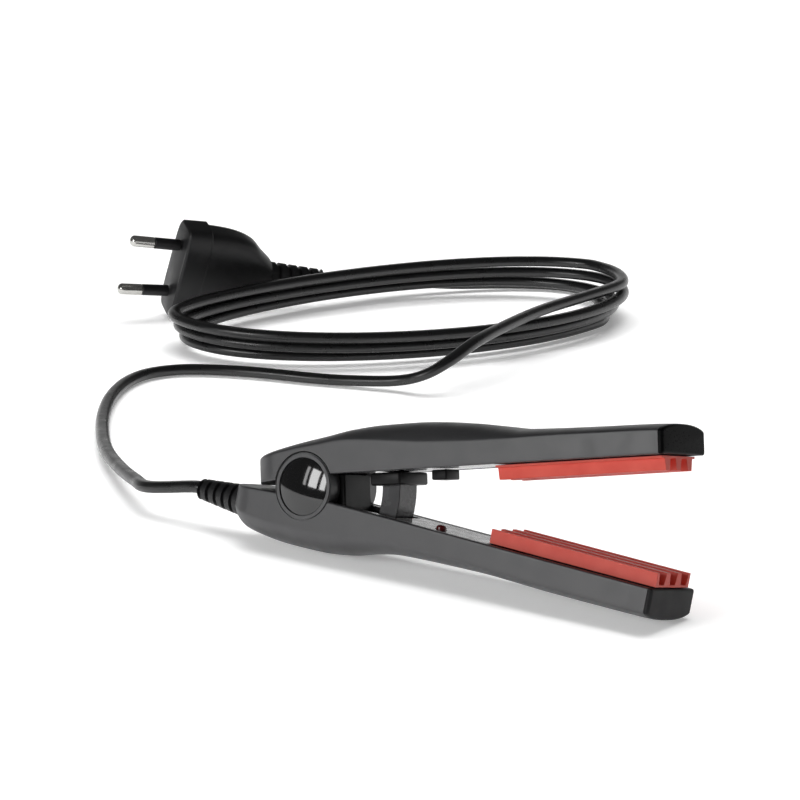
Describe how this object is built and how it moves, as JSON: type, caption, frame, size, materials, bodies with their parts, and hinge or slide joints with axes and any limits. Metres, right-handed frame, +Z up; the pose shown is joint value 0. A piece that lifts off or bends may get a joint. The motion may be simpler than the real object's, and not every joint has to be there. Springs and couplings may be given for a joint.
{
  "type": "hair crimper",
  "caption": "Hand-held hair crimper: two hinged arms with ridged heating plates that spring open, a mains cord laid in a coil and a two-pin plug.",
  "frame": {"origin": "on the surface that the crimper rests on, under the centre of the crimper's own bounding box, without cord and plug", "axes": "+X along the lower arm from the hinge to the tip, +Y across the arms towards the far side, +Z up from the surface; at rest the crimper lies rolled 14.2 degrees towards +Y on its rounded lower face"},
  "size_m": [0.345, 0.3249, 0.0558],
  "materials": {
    "lower_housing": "fine matte dark grey plastic",
    "lower_tip_cap": "satin black plastic",
    "lower_inner_cover": "satin dark grey plastic",
    "lower_crimp_plate": "red ceramic coated aluminium",
    "lower_heater": "bare ceramic",
    "lower_plate_carrier": "heat resistant black plastic",
    "lower_cover_screw_near": "plated steel",
    "lower_cover_screw_far": "plated steel",
    "lower_heater_wire": "white silicone sleeve",
    "thermal_fuse": "tinned metal can",
    "pilot_lamp": "red lens, unlit",
    "lamp_board": "green circuit board",
    "cord_clamp": "black plastic",
    "spring_post": "satin black plastic",
    "opening_spring": "spring steel wire",
    "hinge_pin": "turned steel",
    "hinge_cap_near": "high gloss black plastic",
    "hinge_cap_far": "high gloss black plastic",
    "strain_relief": "soft black plastic, ribbed",
    "cord_lead": "smooth black cable sheath",
    "cord_coil": "smooth black cable sheath",
    "cord_tail": "smooth black cable sheath",
    "plug_relief": "soft black plastic, ribbed",
    "plug_body": "moulded black plastic",
    "plug_contact_top": "nickel plated",
    "plug_contact_bottom": "nickel plated",
    "contact_sleeve_top": "moulded black plastic",
    "contact_sleeve_bottom": "moulded black plastic",
    "upper_housing": "fine matte dark grey plastic",
    "upper_tip_cap": "satin black plastic",
    "upper_inner_cover": "satin dark grey plastic",
    "upper_crimp_plate": "red ceramic coated aluminium",
    "upper_heater": "bare ceramic",
    "upper_plate_carrier": "heat resistant black plastic",
    "upper_cover_screw_near": "plated steel",
    "upper_cover_screw_far": "plated steel",
    "upper_heater_wire": "white silicone sleeve",
    "hinge_knuckle": "black plastic",
    "spring_collar": "satin black plastic",
    "stop_lug": "satin black plastic"
  },
  "bodies": {
    "lower_arm": {"lower_housing": "lower_housing", "lower_tip_cap": "lower_tip_cap", "lower_inner_cover": "lower_inner_cover", "lower_crimp_plate": "lower_crimp_plate", "lower_heater": "lower_heater", "lower_plate_carrier": "lower_plate_carrier", "lower_cover_screw_near": "lower_cover_screw_near", "lower_cover_screw_far": "lower_cover_screw_far", "lower_heater_wire": "lower_heater_wire", "thermal_fuse": "thermal_fuse", "pilot_lamp": "pilot_lamp", "lamp_board": "lamp_board", "cord_clamp": "cord_clamp", "spring_post": "spring_post", "opening_spring": "opening_spring", "hinge_pin": "hinge_pin", "hinge_cap_near": "hinge_cap_near", "hinge_cap_far": "hinge_cap_far", "strain_relief": "strain_relief", "cord_lead": "cord_lead", "cord_coil": "cord_coil", "cord_tail": "cord_tail", "plug_relief": "plug_relief", "plug_body": "plug_body", "plug_contact_top": "plug_contact_top", "plug_contact_bottom": "plug_contact_bottom", "contact_sleeve_top": "contact_sleeve_top", "contact_sleeve_bottom": "contact_sleeve_bottom"},
    "upper_arm": {"upper_housing": "upper_housing", "upper_tip_cap": "upper_tip_cap", "upper_inner_cover": "upper_inner_cover", "upper_crimp_plate": "upper_crimp_plate", "upper_heater": "upper_heater", "upper_plate_carrier": "upper_plate_carrier", "upper_cover_screw_near": "upper_cover_screw_near", "upper_cover_screw_far": "upper_cover_screw_far", "upper_heater_wire": "upper_heater_wire", "hinge_knuckle": "hinge_knuckle", "spring_collar": "spring_collar", "stop_lug": "stop_lug"}
  },
  "joints": [
    {"name": "arm_hinge", "type": "hinge", "parent": "lower_arm", "child": "upper_arm", "pos_m": [-0.0381, -0.0024, 0.01891], "axis": [0, 0.9694, -0.2453], "range_deg": [0, 14.9], "stiffness_Nm_per_rad": 0.2, "springref_deg": -34.38, "deforming": ["opening_spring"]}
  ]
}
